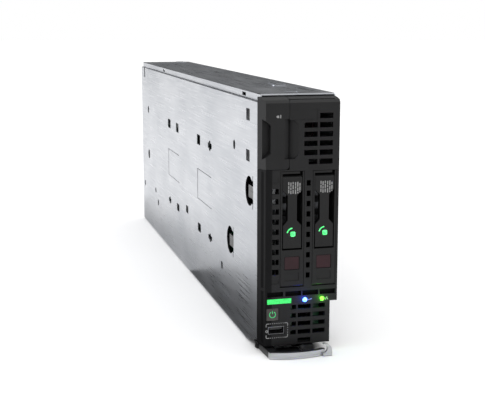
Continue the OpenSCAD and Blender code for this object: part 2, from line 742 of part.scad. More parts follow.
// Sheet plates tabbed together: floor and roof, the side toward the board and the wall between the bays
module drive_cage() {
    t = 0.8;
    tab_fit = 0.05;
    low = bay_z - 1.4;
    high = bay_top + 0.6;
    y0 = bezel_d + 0.3;
    y1 = carrier_d + 1;
    left = bay_x[0] - bay_w / 2 - 0.4;
    middle = (bay_x[0] + bay_x[1]) / 2;
    color(steel) placed() {
        for (z = [low, high]) difference() {
            union() {
                block([left - t, y0, z], [cover_in - gap, y1 + 4, z + t]);
                // Ear that reaches the pan's side wall
                block([wall_in, 40, z], [left, 52, z + t]);
            }
            for (x = bay_x, y = [24 : 18 : 96])
                along_z(z - 1, t + 2) soft_rect([x - 4.5, y], [x + 4.5, y + 12], 2);
        }
        difference() {
            block([left - t, y0, low + t + tab_fit], [left, y1 + 4, high - tab_fit]);
            for (z = [low + 10 : 14 : high - 12])
                block([left - t - 1, 30, z], [left + 0.1, 100, z + 8]);
        }
        block([middle - 1, y0, low + t + tab_fit], [middle + 1, y1, high - tab_fit]);
    }
}

module drive_backplane() {
    y = carrier_d + 1.2;
    color(board_green) placed() difference() {
        block([bay_x[0] - bay_w / 2 - 0.4, y, bay_z - 0.6], [cover_in - gap - 0.5, y + 1.6, bay_top + 0.6]);
        for (x = bay_x, z = [bay_mid + 8, bay_mid + 27])
            along_y(y - 1, 4) soft_rect([x - 5, z], [x + 5, z + 13], 2);
    }
}

module backplane_connectors() {
    color(connector_black) placed() for (x = bay_x) difference() {
        block([x - 3.4, drive_y[1] - plug_depth + gap, bay_mid - 24], [x + 3.4, carrier_d + 1.2, bay_mid + 4]);
        block([x - 1.2, drive_y[1] - plug_depth, bay_mid - 22], [x + 1.2, drive_y[1] + 0.5, bay_mid + 2]);
    }
}

// Face frame with side ribs, lower block and the two rails that hold the drive
module drive_carrier(i) {
    x = bay_x[i];
    half = carrier_w / 2;
    rib = 1.1;
    low_block = lever_low - 1.2;
    button_z = [bay_z + 12.6, bay_z + 23.2];
    color(black_plastic) placed() difference() {
        union() {
            for (s = [-1, 1])
                block([x + min(s * half, s * (half - rib)), 0, carrier_low],
                    [x + max(s * half, s * (half - rib)), 15, carrier_high]);
            block([x - half, 0, carrier_low], [x + half, 13, low_block]);
            block([x - half, 0.2, carrier_high - 1.5], [x + half - 3, 13, carrier_high]);
            block([x - half, 13, carrier_low], [x + half, 15, carrier_high]);
            // Rails above and below the drive
            for (z = [carrier_low, carrier_high - 4.4])
                block([x - half + 0.4, 14, z], [x + half - 0.4, carrier_d - 6, z + 4.4]);
        }
        // Chamfered lower edge and the bright bevel round the button
        along_x(x - half - 1, carrier_w + 2) polygon([[-1, carrier_low - 1], [1.2, carrier_low - 1], [0, carrier_low + 1.2],
            [-1, carrier_low + 1.2]]);
        // Opening for the button, its stem and the shallow field below it
        along_y(-1, 8.5) soft_rect([x - 5.1 - gap, button_z[0] - gap], [x + 5.1 + gap, button_z[1] - 1.8 + gap], 0.8);
        rod_y(x, (button_z[0] + button_z[1]) / 2, -1, 12.5, 1.5);
        along_y(-1, 1.4) soft_rect([x - 5.1, bay_z + 4.5], [x + 5.1, bay_z + 10.4], 0.4);
        // Bores for the lever's pins
        rod_x(lever_pivot[0], lever_pivot[1], x - half - 1, x + half + 1, carrier_pin_r + 0.05);
        // Air windows in the back wall
        along_y(12, 4) for (z = [lever_low + 6 : 9 : carrier_high - 12])
            translate([x - 5, z]) square([10, 5]);
        // Drive body's room and its side screw holes
        block([x - drive_size[0] / 2 - 0.1, 15, bay_mid - drive_size[2] / 2 - 0.1],
            [x + drive_size[0] / 2 + 0.1, carrier_d + 1, bay_mid + drive_size[2] / 2 + 0.1]);
        for (y = [30, 104], z = [carrier_low, carrier_high])
            rod_z(x, y, z - 5, z + 5, 1.6);
    }
}

module drive(i) {
    x = bay_x[i];
    half = drive_size[0] / 2;
    z0 = bay_mid - drive_size[2] / 2;
    z1 = bay_mid + drive_size[2] / 2;
    y0 = drive_y[0];
    y1 = drive_y[1];
    color("#8c8e92") placed() difference() {
        along_y(y0, y1 - y0) soft_rect([x - half, z0], [x + half, z1], 1);
        // Turned recess of the lid, edge step and plug opening
        rod_x(y0 + 45, bay_mid, x + half - 0.6, x + half + 1, 26);
        block([x - half - 1, y0 + 80, z0 - 1], [x - half + 1.2, y1 + 1, z1 + 1]);
        block([x - 3.8, y1 - plug_depth, bay_mid - 24.4], [x + 3.8, y1 + 1, bay_mid + 4.4]);
        for (y = [30, 104])
            for (z = [z0, z1])
                rod_z(x, y, z - 3, z + 3, 1.2);
    }
    // Contact blade inside the plug opening
    color(gold) placed()
        block([x - 0.8, y1 - plug_depth - eps, bay_mid - 21], [x + 0.8, y1 - 0.4, bay_mid + 1]);
}

module drive_screws(i) {
    x = bay_x[i];
    color(steel) placed() for (y = [30, 104], s = [-1, 1]) {
        seat = s < 0 ? carrier_low + 1.4 : carrier_high - 1.4;
        tip = bay_mid + s * (drive_size[2] / 2 - 2.4);
        rod_z(x, y, min(seat, tip), max(seat, tip), 1.15);
        rod_z(x, y, min(seat, seat - s * 1.2), max(seat, seat - s * 1.2), 1.5);
    }
}

// Latch lever: wide head, chamfered waist and wide foot with the round light window
module lever_outline(half) {
    z1 = bay_top - 4.5;
    polygon([[-half, z1], [half, z1], [half, z1 - 8.7], [half - 3.6, z1 - 12.2], [half - 3.6, z1 - 29.5],
        [half - 0.4, z1 - 33], [half - 0.4, lever_low], [-half + 0.4, lever_low], [-half + 0.4, z1 - 33],
        [-half + 3.6, z1 - 29.5], [-half + 3.6, z1 - 12.2], [-half, z1 - 8.7]]);
}

module drive_lever(i) {
    x = bay_x[i];
    half = carrier_w / 2 - 1.1 - gap;
    light_z = lever_low + 10.3;
    color(black_plastic) placed() difference() {
        union() {
            difference() {
                along_y(0.2, 4) translate([x, 0]) lever_outline(half);
                // Hollow back between the edge ribs
                along_y(2, 3) soft_rect([x - half + 1.8, lever_low + 2], [x + half - 1.8, lever_low + 17], 1);
                along_y(2, 3) soft_rect([x - 2.2, lever_low + 19], [x + 2.2, bay_top - 20], 1);
            }
            // Trunnions in the carrier's ribs, joined by the barrel of the head
            rod_x(lever_pivot[0], lever_pivot[1], x - carrier_w / 2 + 0.1, x + carrier_w / 2 - 0.1, carrier_pin_r);
            rod_x(lever_pivot[0], lever_pivot[1], x - half, x + half, 2.4);
            // Latch nose behind the free end
            block([x - 2.5, 4, lever_low + 0.5], [x + 2.5, 7.4, lever_low + 1.8]);
        }
        // Top edge rounded about the pivot so that it clears the carrier's lip
        difference() {
            block([x - half - 1, -1, lever_pivot[1]], [x + half + 1, 9, bay_top]);
            rod_x(lever_pivot[0], lever_pivot[1], x - half - 2, x + half + 2, 5.2);
        }
        rod_y(x, light_z, -1, 5, 3.3);
    }
}

// Light ring moulded into the lever's foot
module drive_light(i) {
    x = bay_x[i];
    light_z = lever_low + 10.3;
    color("#2f3432") placed() {
        rod_y(x, light_z, 0.3, 4, 3.2);
        rod_y(x, light_z, 0.1, 0.4, 1.8);
    }
}

module drive_button(i) {
    x = bay_x[i];
    low = bay_z + 12.6;
    high = bay_z + 21.4;
    color(burgundy) placed() {
        along_y(0.4, 4) soft_rect([x - 5.1, low], [x + 5.1, high], 0.6);
        rod_y(x, low + 5.3, 4.4 - eps, 10.6, 1.4);
    }
}

// ---- System board ----

module system_board() {
    color(board_green) placed() difference() {
        block([board_x, board_y, board_low], [board_face, board_rear, board_high]);
        for (h = board_hole_places)
            rod_x(h[0], h[1], board_x - 1, board_face + 1, 1.7);
    }
}

board_hole_places = [for (y = [board_y + 6, bank_y[1] - 4, card_rear - 14], z = [board_low + 3.4, mid_z, board_high - 5.5])
    [y, z]];

module board_standoffs() {
    color(steel) placed() for (h = board_hole_places) {
        rod_x(h[0], h[1], wall_in, board_x, 2.8);
        rod_x(h[0], h[1], board_x - eps, board_face + 0.1, 1.5);
        rod_x(h[0], h[1], board_face, board_face + 1.8, 3);
    }
}

module processor_sockets() {
    color("#3a3c40") placed() for (y = sink_y) {
        mid = y + sink_size[1] / 2;
        block([board_face, mid - 28, sink_z - 38], [board_face + 2.2, mid + 28, sink_z + 38]);
        block([board_face + 2.2 - eps, mid - 19, sink_z - 25], [board_face + processor_h, mid + 19, sink_z + 25]);
    }
}

// Finned cooler: base plate, straight fins and two heat pipes
module heat_sink(i) {
    x0 = board_face + processor_h;
    y0 = sink_y[i];
    z0 = sink_z - sink_size[2] / 2;
    base = 5;
    fin_t = 0.8;
    fin_pitch = (sink_size[2] - fin_t) / (fin_count - 1);
    color("#c2c4c6") placed() difference() {
        union() {
            block([x0, y0, z0], [x0 + base, y0 + sink_size[1], z0 + sink_size[2]]);
            for (f = [0 : fin_count - 1])
                block([x0 + base - eps, y0 + 2, z0 + f * fin_pitch],
                    [x0 + sink_size[0], y0 + sink_size[1] - 2, z0 + f * fin_pitch + fin_t]);
        }
        for (y = [y0 + 7, y0 + sink_size[1] - 7], z = [z0 + 6.5, z0 + sink_size[2] - 6.5]) {
            rod_x(y, z, x0 - 1, x0 + base + 1, 2.3);
            rod_x(y, z, x0 + base, x0 + sink_size[0] + 1, 5.4);
        }
    }
}

module heat_sink_screws() {
    color(steel) placed() for (i = [0, 1])
        for (y = [sink_y[i] + 7, sink_y[i] + sink_size[1] - 7], s = [-1, 1]) {
            z = sink_z + s * (sink_size[2] / 2 - 6.5);
            rod_x(y, z, board_face, board_face + processor_h + 8, 2);
            rod_x(y, z, board_face + processor_h + 5.2, board_face + processor_h + 11, 3.9);
        }
}

// Row of chokes and capacitors that feed the processors
module power_stages() {
    y = sink_y[0] + sink_size[1] + 8;
    color("#55585c") placed() {
        // The place of the fourth choke is left to the board's middle screw
        for (n = [0, 1, 2, 4, 5, 6])
            block([board_face, y - 4, sink_z - 36 + n * 10.4], [board_face + 6, y + 3.5, sink_z - 28.5 + n * 10.4]);
        for (n = [0 : 3])
            rod_x(sink_y[1] + sink_size[1] + 7, sink_z - 28 + n * 18, board_face, board_face + 9, 3.6);
    }
}

// Four sockets side by side for each processor, with an ejector at either end
module memory_sockets(z_low) {
    ejector = 4.2;
    color(connector_black) placed() for (y = bank_y, n = [0 : 3]) {
        z = z_low + n * module_pitch;
        difference() {
            block([board_face, y, z - socket_w / 2], [board_face + socket_h, y + socket_l, z + socket_w / 2]);
            block([board_face + module_seat - 0.1, y + ejector, z - module_size[2] / 2 - 0.1],
                [board_face + socket_h + 1, y + socket_l - ejector, z + module_size[2] / 2 + 0.1]);
        }
        for (end = [y + 0.4, y + socket_l - ejector + 0.4])
            block([board_face + socket_h - eps, end, z - 2.4], [board_face + socket_h + 8, end + 3.4, z + 2.4]);
    }
}

module memory_modules(z_low) {
    chip = [9.4, 11, 1.1];
    color("#27583c") placed() for (y = bank_y, n = [0 : 3]) {
        z = z_low + n * module_pitch;
        x0 = board_face + module_seat;
        y0 = y + (socket_l - module_size[0]) / 2;
        difference() {
            block([x0, y0, z - module_size[2] / 2], [x0 + module_size[1], y0 + module_size[0], z + module_size[2] / 2]);
            block([x0 - 1, y0 + 71, z - 1], [x0 + 4, y0 + 73, z + 1]);
        }
        for (c = [0 : 4], side = [0, 1])
            block([x0 + 11, y0 + 6 + c * 12.2 + side * 61, z + module_size[2] / 2 - eps],
                [x0 + 11 + chip[1], y0 + 6 + c * 12.2 + side * 61 + chip[0], z + module_size[2] / 2 + chip[2]]);
    }
}

// Moulded lid over one row of modules that keeps the air between them
module air_baffle(z_low, upper) {
    t = 1.4;
    low = z_low - socket_w / 2 - 1;
    high = z_low + 3 * module_pitch + socket_w / 2 + 1;
    y0 = bank_y[0] + 2;
    y1 = bank_y[1] + socket_l - 2;
    inner = upper ? low - t : high;
    color("#1f2022") placed() difference() {
        union() {
            block([baffle_x, y0, low - t], [baffle_x + t, y1, high + t]);
            // Skirt toward the heat sinks, standing on the board
            for (y = [[sink_y[0] + 4, sink_y[0] + sink_size[1] - 4], [sink_y[1] + 4, sink_y[1] + sink_size[1] - 4]])
                block([board_face, y[0], inner], [baffle_x + eps, y[1], inner + t]);
            // Stiffening ribs across the lid
            for (y = [y0 + 30 : 60 : y1 - 10])
                block([baffle_x + t - eps, y, low], [baffle_x + t + 1.6, y + 2, high]);
        }
        // Finger holes
        for (y = bank_y)
            rod_x(y + socket_l / 2, (low + high) / 2, baffle_x - 1, baffle_x + t + 4, 8);
    }
}

module bare_card(low, high, thickness) {
    block([low[0], low[1], low[2]], [low[0] + thickness, high[1], high[2]]);
}

module network_adapter() {
    x = card_x - 4;
    color("#24503a") placed() {
        bare_card([x, small_card_y, sink_z - 42], [x, small_card_y + 50, sink_z - 3], 1.6);
        block([x + 1.6 - eps, small_card_y + 12, sink_z - 34], [x + 4, small_card_y + 30, sink_z - 16]);
        for (f = [0 : 5])
            block([x + 4 - eps, small_card_y + 12 + f * 3.4, sink_z - 34], [x + 11, small_card_y + 13 + f * 3.4, sink_z - 16]);
        block([x + 1.6 - eps, small_card_y + 36, sink_z - 38], [x + 8, small_card_y + 46, sink_z - 8]);
    }
}

module storage_controller() {
    x = card_x - 4;
    color("#24503a") placed() {
        bare_card([x, small_card_y, sink_z + 3], [x, small_card_y + 50, sink_z + 42], 1.6);
        block([x + 1.6 - eps, small_card_y + 10, sink_z + 12], [x + 3.4, small_card_y + 26, sink_z + 28]);
        for (n = [0 : 2])
            block([x + 1.6 - eps, small_card_y + 32, sink_z + 8 + n * 10], [x + 2.8, small_card_y + 43, sink_z + 15 + n * 10]);
    }
}

module mezzanine_card(low, high) {
    span = high - low;
    color("#24503a") placed() difference() {
        union() {
            bare_card([card_x, mezz_y, low], [card_x, card_rear, high], 1.6);
            // Cooler over the controller chip
            block([card_x + 1.6 - eps, mezz_y + 20, low + span / 2 - 17], [card_x + 5, mezz_y + 54, low + span / 2 + 17]);
            for (f = [0 : 7])
                block([card_x + 5 - eps, mezz_y + 20, low + span / 2 - 17 + f * 4.7],
                    [card_x + 13, mezz_y + 54, low + span / 2 - 15.8 + f * 4.7]);
            for (n = [0 : 3])
                block([card_x + 1.6 - eps, mezz_y + 62, low + 8 + n * 16], [card_x + 3, mezz_y + 72, low + 18 + n * 16]);
        }
        for (y = [mezz_y + 5, card_rear - 5], z = [low + 5, high - 5])
            rod_x(y, z, card_x - 1, card_x + 3, 1.7);
    }
}

upper_card = [sink_z + 4, board_high - 3];
lower_card = [board_low + 3, sink_z - 4];

// Stacking connectors between the board and the cards, with the cards' stand-offs
module card_connectors() {
    color(connector_black) placed() {
        for (z = [sink_z - 34, sink_z + 8])
            block([board_face, small_card_y + 4, z], [card_x - 4, small_card_y + 11, z + 26]);
        for (z = [upper_card[0], lower_card[1] - 44])
            block([board_face, card_rear - 26, z + 8], [card_x, card_rear - 12, z + 36]);
        for (card = [upper_card, lower_card], y = [mezz_y + 5, card_rear - 5], z = [card[0] + 5, card[1] - 5]) {
            rod_x(y, z, board_face, card_x, 2.6);
            rod_x(y, z, card_x - eps, card_x + 1.7, 1.6);
            rod_x(y, z, card_x + 1.6, card_x + 3.2, 2.8);
        }
    }
}

module capacitor_pack() {
    color("#26282c") placed() {
        along_y(40, 22) soft_rect([wall_in, 10], [wall_in + 17, 33], 2.5);
        block([wall_in, 62 - eps, 14], [wall_in + 8, 64, 24]);
    }
}

module coin_cell() {
    color("#c0c2c4") placed() rod_x(mezz_y + 34, sink_z, board_face + 1.2, board_face + 4.4, 10);
}

module coin_cell_holder() {
    color(connector_black) placed() difference() {
        block([board_face, mezz_y + 22.4, sink_z - 9], [board_face + 4, mezz_y + 45.6, sink_z + 9]);
        rod_x(mezz_y + 34, sink_z, board_face + 1.2, board_face + 6, 10.1);
    }
}

// Rear plugs that meet the enclosure's mid plane
signal_z = [sink_z - 32, sink_z + 8];
guide_r = 3;
module signal_connectors() {
    x0 = board_face;
    x1 = board_face + 24;
    color(connector_black) placed() for (z = signal_z) difference() {
        block([x0, board_rear - 8, z], [x1, rear_y, z + 36]);
        // Columns of narrow contact slots
        for (row = [0 : 4])
            block([x0 + 3 + row * 4.2, rear_y - 8, z + 9], [x0 + 4.4 + row * 4.2, rear_y + 1, z + 33]);
        rod_y(x0 + 12, z + 4.6, rear_y - 12, rear_y + 1, guide_r);
    }
}

module power_connector() {
    x0 = board_face;
    low = 14;
    color(connector_black) placed() difference() {
        block([x0, board_rear - 8, low], [x0 + 18, rear_y, low + 26]);
        for (n = [0 : 2])
            block([x0 + 3, rear_y - 10, low + 3 + n * 8], [x0 + 15, rear_y + 1, low + 7.6 + n * 8]);
    }
}

chassis_pan();
access_cover();
cover_button();
chassis_screws();
rear_grille();
bezel();
info_tab();
tab_guide();
status_bar_lens();
id_lens();
network_lens();
front_port_shell();
front_port_tongue();
front_panel_board();
power_switch();
power_button();
lever_bracket();
lever_pin();
release_lever();
lever_grip();
release_catch();
catch_rail();
drive_cage();
drive_backplane();
backplane_connectors();
drive_carrier(0);  // drive_carrier_1
drive(0);  // drive_1
drive_screws(0);  // drive_screws_1
drive_lever(0);  // drive_lever_1
drive_light(0);  // drive_light_1
drive_button(0);  // drive_button_1
drive_carrier(1);  // drive_carrier_2
drive(1);  // drive_2
drive_screws(1);  // drive_screws_2
drive_lever(1);  // drive_lever_2
drive_light(1);  // drive_light_2
drive_button(1);  // drive_button_2
system_board();
board_standoffs();
processor_sockets();
heat_sink(0);  // heat_sink_front
heat_sink(1);  // heat_sink_rear
heat_sink_screws();
power_stages();
memory_sockets(bank_high);  // memory_sockets_upper
memory_sockets(bank_low);  // memory_sockets_lower
memory_modules(bank_high);  // memory_modules_upper
memory_modules(bank_low);  // memory_modules_lower
air_baffle(bank_high, true);  // air_baffle_upper
air_baffle(bank_low, false);  // air_baffle_lower
network_adapter();
storage_controller();
mezzanine_card(upper_card[0], upper_card[1]);  // mezzanine_card_upper
mezzanine_card(lower_card[0], lower_card[1]);  // mezzanine_card_lower
card_connectors();
capacitor_pack();
coin_cell();
coin_cell_holder();
signal_connectors();
power_connector();
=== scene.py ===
import math

import bmesh
import bpy
import numpy as np
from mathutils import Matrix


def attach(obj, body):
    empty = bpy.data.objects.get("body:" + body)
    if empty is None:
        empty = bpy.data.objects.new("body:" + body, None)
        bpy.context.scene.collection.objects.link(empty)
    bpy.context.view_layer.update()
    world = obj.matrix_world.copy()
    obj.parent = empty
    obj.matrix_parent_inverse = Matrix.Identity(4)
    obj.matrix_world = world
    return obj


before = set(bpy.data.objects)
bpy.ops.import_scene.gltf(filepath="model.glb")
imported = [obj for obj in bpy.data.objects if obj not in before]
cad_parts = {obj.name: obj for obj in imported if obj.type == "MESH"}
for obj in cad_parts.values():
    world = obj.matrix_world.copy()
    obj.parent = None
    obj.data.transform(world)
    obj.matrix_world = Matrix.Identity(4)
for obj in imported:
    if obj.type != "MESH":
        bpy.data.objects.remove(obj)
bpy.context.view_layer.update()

# ---- Studio ----
# The blade stands on a broad pale floor of matt board under a wide ceiling light, with one soft box
# before the bezel and one beside the bare wall. Grey cards darken what the sheet mirrors.

CAMERA_PLACE = (-0.207149, -0.888277, 0.230728)
CAMERA_PITCH = 10.8529
CAMERA_YAW = 14.5427
CAMERA_LENS = 74.98
FLOOR_RADIUS = 9.0
FLAG_HEIGHT = 0.0005
FLAG_EDGE = -0.0285
CEILING_POWER = 2.6
FILL_LIGHT = 0.42
# The bezel's front face in the frame, and the two small lamps before it, in millimetres
BEZEL_FACE = -245.3
GLOW_AHEAD = 3.0
GLOW_HEIGHT = 38.1


def linear(colour):
    """A '#rrggbb' sRGB colour as linear red, green, blue and alpha."""
    values = [int(colour[i:i + 2], 16) / 255 for i in (1, 3, 5)]
    return [v / 12.92 if v <= 0.04045 else ((v + 0.055) / 1.055) ** 2.4 for v in values] + [1.0]


def add(tree, kind, settings=None, links=None, **attributes):
    """Adds one shader node with its attributes, its sockets' values and the outputs that feed them."""
    node = tree.nodes.new("ShaderNode" + kind)
    for name, value in attributes.items():
        setattr(node, name, value)
    for socket, value in (settings or {}).items():
        node.inputs[socket].default_value = value
    for socket, source in (links or {}).items():
        tree.links.new(source, node.inputs[socket])
    return node


def start_material(name):
    """An empty material, its node tree and the Object coordinates that its patterns follow."""
    material = bpy.data.materials.new(name)
    material.use_nodes = True
    tree = material.node_tree
    tree.nodes.clear()
    place = add(tree, "TexCoord").outputs["Object"]
    return material, tree, place


def end_material(tree, settings, links=None):
    """Closes a material with its Principled shader."""
    shader = add(tree, "BsdfPrincipled", settings, links)
    add(tree, "OutputMaterial", links={"Surface": shader.outputs["BSDF"]})


def ramp(tree, source, stops):
    """A colour ramp over source: stops are (position, '#rrggbb')."""
    node = add(tree, "ValToRGB", links={"Fac": source})
    while len(node.color_ramp.elements) < len(stops):
        node.color_ramp.elements.new(0.5)
    for element, (position, colour) in zip(node.color_ramp.elements, stops):
        element.position = position
        element.color = linear(colour)
    return node.outputs["Color"]


def spread(tree, source, low, high, start=0.0, end=1.0):
    """Maps source from start..end to low..high, clamped."""
    node = add(tree, "MapRange", {"From Min": start, "From Max": end, "To Min": low, "To Max": high},
               {"Value": source})
    return node.outputs["Result"]


def grain(tree, place, scale, stretch=(1, 1, 1), detail=2.0, rough=0.5):
    """Noise whose features are 1 / scale metres across, drawn out along the axes where stretch is small."""
    mapping = add(tree, "Mapping", {"Scale": stretch}, {"Vector": place})
    noise = add(tree, "TexNoise", {"Scale": scale, "Detail": detail, "Roughness": rough},
                {"Vector": mapping.outputs["Vector"]})
    return noise.outputs["Fac"]


def mesh_object(name, vertices, faces):
    """A mesh object at the origin from arrays of vertices in metres and of faces."""
    mesh = bpy.data.meshes.new(name)
    mesh.from_pydata(np.asarray(vertices, float).tolist(), [], [list(map(int, f)) for f in faces])
    mesh.validate()
    mesh.update()
    piece = bpy.data.objects.new(name, mesh)
    bpy.context.scene.collection.objects.link(piece)
    return piece


def matt_board():
    """Matt white card: no gloss, and a tone that wanders by a hundredth."""
    material, tree, place = start_material("matt_board")
    tone = ramp(tree, grain(tree, place, 3.0), [(0.3, "#f1f1f1"), (0.7, "#f4f4f4")])
    end_material(tree, {"Roughness": 0.9, "Specular IOR Level": 0.1}, {"Base Color": tone})
    return material


def soft_box(name, place, aim, size, power, colour):
    """A square area lamp at place that faces aim."""
    lamp = bpy.data.lights.new(name, "AREA")
    lamp.shape = "RECTANGLE"
    lamp.size, lamp.size_y = size
    lamp.energy = power
    lamp.color = linear(colour)[:3]
    holder = bpy.data.objects.new(name, lamp)
    bpy.context.scene.collection.objects.link(holder)
    holder.location = place
    away = np.subtract(place, aim)
    yaw = math.atan2(away[1], away[0]) + math.pi / 2
    holder.rotation_euler = (math.acos(away[2] / np.linalg.norm(away)), 0, yaw)


turn = np.linspace(0, 2 * math.pi, 64, endpoint=False)
rim = np.stack([FLOOR_RADIUS * np.cos(turn), FLOOR_RADIUS * np.sin(turn), 0 * turn], 1)
floor = mesh_object("floor", rim, [range(64)])
floor.data.materials.append(matt_board())


def flag_card(name, corners, dark, light):
    """A grey card that darkens what the blade mirrors, kept out of the camera's sight."""
    card = mesh_object(name, corners, [range(4)])
    material, tree, place = start_material(name)
    tone = ramp(tree, grain(tree, place, 3.0), [(0.3, dark), (0.7, light)])
    end_material(tree, {"Roughness": 0.95, "Specular IOR Level": 0.0}, {"Base Color": tone})
    card.data.materials.append(material)
    card.visible_camera = False
    card.visible_diffuse = False
    card.visible_shadow = False


flag_card("near_floor_flag", [(FLAG_EDGE, -0.6, FLAG_HEIGHT), (FLAG_EDGE, 0.0, FLAG_HEIGHT),
                              (-0.085, 0.0, FLAG_HEIGHT), (-0.21, -0.6, FLAG_HEIGHT)], "#444444", "#484848")
flag_card("far_floor_flag", [(FLAG_EDGE, 0.0, FLAG_HEIGHT), (FLAG_EDGE, 0.4, FLAG_HEIGHT),
                             (-0.06, 0.4, FLAG_HEIGHT), (-0.085, 0.0, FLAG_HEIGHT)], "#b8b8b8", "#bcbcbc")
flag_card("rear_flag", [(-0.5, 0.5, 0.2), (0.9, 0.5, 0.2), (0.9, 0.5, 0.9), (-0.5, 0.5, 0.9)],
          "#2c2c2c", "#303030")

sun = bpy.data.lights.new("ceiling", "SUN")
sun.energy = CEILING_POWER
sun.angle = math.radians(100)
ceiling = bpy.data.objects.new("ceiling", sun)
bpy.context.scene.collection.objects.link(ceiling)
soft_box("wall_box", (-2.6, 1.4, 1.0), (-0.03, 0.0, 0.1), (1.0, 1.4), 20, "#f8f9ff")
soft_box("key_box", (-0.9, -2.2, 1.7), (0, -0.2, 0.15), (0.8, 0.8), 9, "#ffffff")

for name, x, power, colour in (("blue_glow", 4.3, 0.004, "#1c40ff"), ("lime_glow", 16.9, 0.0025, "#60ff20")):
    glow = bpy.data.lights.new(name, "POINT")
    glow.energy = power
    glow.color = linear(colour)[:3]
    glow.shadow_soft_size = 0.001
    holder = bpy.data.objects.new(name, glow)
    bpy.context.scene.collection.objects.link(holder)
    holder.location = (x / 1000, (BEZEL_FACE - GLOW_AHEAD) / 1000, GLOW_HEIGHT / 1000)

world = bpy.data.worlds.new("studio")
world.use_nodes = True
backdrop = world.node_tree.nodes["Background"]
seen = add(world.node_tree, "LightPath").outputs["Is Camera Ray"]
world.node_tree.links.new(spread(world.node_tree, seen, FILL_LIGHT, 1.0), backdrop.inputs["Strength"])
backdrop.inputs["Color"].default_value = linear("#ffffff")
bpy.context.scene.world = world
bpy.context.scene.view_settings.view_transform = "Standard"

camera_data = bpy.data.cameras.new("camera")
camera_data.lens = CAMERA_LENS
camera_data.sensor_width = 36
camera_data.sensor_fit = "HORIZONTAL"
camera_data.clip_start = 0.01
camera = bpy.data.objects.new("camera", camera_data)
camera.location = CAMERA_PLACE
camera.rotation_euler = (math.radians(90 - CAMERA_PITCH), 0, math.radians(-CAMERA_YAW))
bpy.context.scene.collection.objects.link(camera)
bpy.context.scene.camera = camera

# ---- Chassis pan and access cover ----
# One folded pan of rolled, hot-dip galvanised sheet and a flat cover of the same sheet. The mill's
# rollers leave fine streaks along the blade, and the zinc dries in faint pale flowers.

# Middles (y, z) of the wall's two round windows, behind the bezel's face, and the radius inside which painted
# shade stands in for the dark hole
WINDOW_MIDDLES = ((30.0, 110.9), (85.9, 64.0))
WINDOW_RADIUS = 10.55


def dress(material, *nodes):
    """Puts a material on CAD nodes through their slots."""
    for name in nodes:
        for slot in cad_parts[name].material_slots:
            slot.material = material


def bump(tree, height, depth_mm):
    """A bump of depth_mm from a 0..1 height."""
    node = add(tree, "Bump", {"Strength": 1.0, "Distance": depth_mm / 1000}, {"Height": height})
    return node.outputs["Normal"]


def galvanised_sheet():
    """Rolled zinc-coated steel: silvery, satin along the streaks, with soft crystal blotches, and painted
    shade in the wall's two round windows.
    """
    material, tree, place = start_material("rolled_galvanised_steel")
    streaks = grain(tree, place, 900, (1, 0.02, 1), 3.0, 0.6)
    blotches = grain(tree, place, 26, (1, 0.6, 1), 2.0)
    tone = ramp(tree, blotches, [(0.3, "#b6b9be"), (0.7, "#c8cace")])
    roughness = spread(tree, streaks, 0.24, 0.42, 0.3, 0.7)
    # Painted shade: the spring tongues in the wall's two round windows are painted near-black and not
    # metallic, standing in for the shade of an open hole with its tongue bent inward. The mask reads y and z
    # only, so it also leaves two dark discs on the cover, which has this material too.
    clear = None
    for y, z in WINDOW_MIDDLES:
        away = add(tree, "VectorMath", {1: (0.0, (y + BEZEL_FACE) / 1000, z / 1000)}, {0: place},
                   operation="SUBTRACT")
        flat = add(tree, "VectorMath", {1: (0.0, 1000.0, 1000.0)}, {0: away.outputs["Vector"]},
                   operation="MULTIPLY")
        far = add(tree, "VectorMath", links={0: flat.outputs["Vector"]}, operation="LENGTH").outputs["Value"]
        outside = spread(tree, far, 0.0, 1.0, WINDOW_RADIUS, 10.6)
        clear = outside if clear is None else add(tree, "Math", links={0: clear, 1: outside},
                                                  operation="MULTIPLY").outputs["Value"]
    # Painted shade: the near-black inside the two round windows
    black = ramp(tree, blotches, [(0.3, "#0c0c0d"), (0.7, "#111112")])
    mixed = add(tree, "Mix", links={0: clear, 6: black, 7: tone}, data_type="RGBA").outputs[2]
    end_material(tree, {}, {"Metallic": clear, "Base Color": mixed, "Roughness": roughness,
                            "Normal": bump(tree, streaks, 0.012)})
    return material


dress(galvanised_sheet(), "chassis_pan", "access_cover")

# ---- Bezel and pull-out tab ----
# Both are injection-moulded in black glass-filled plastic with a fine eroded texture, which keeps them
# satin: it scatters the light a little more on the chamfers than on the flat face.


def moulded_black(name, dark, light, roughness, texture_mm=0.35, sheen=0.3):
    """Textured black ABS: near-black, satin, with a pebbled surface of texture_mm."""
    material, tree, place = start_material(name)
    pebbles = grain(tree, place, 1000 / texture_mm, detail=1.0)
    blotches = grain(tree, place, 60)
    tone = ramp(tree, blotches, [(0.3, dark), (0.7, light)])
    end_material(tree, {"IOR": 1.5, "Specular IOR Level": sheen},
                 {"Base Color": tone, "Roughness": spread(tree, pebbles, roughness - 0.06, roughness + 0.06),
                  "Normal": bump(tree, pebbles, 0.02)})
    return material


dress(moulded_black("textured_tab_abs", "#121213", "#171718", 0.5), "info_tab")


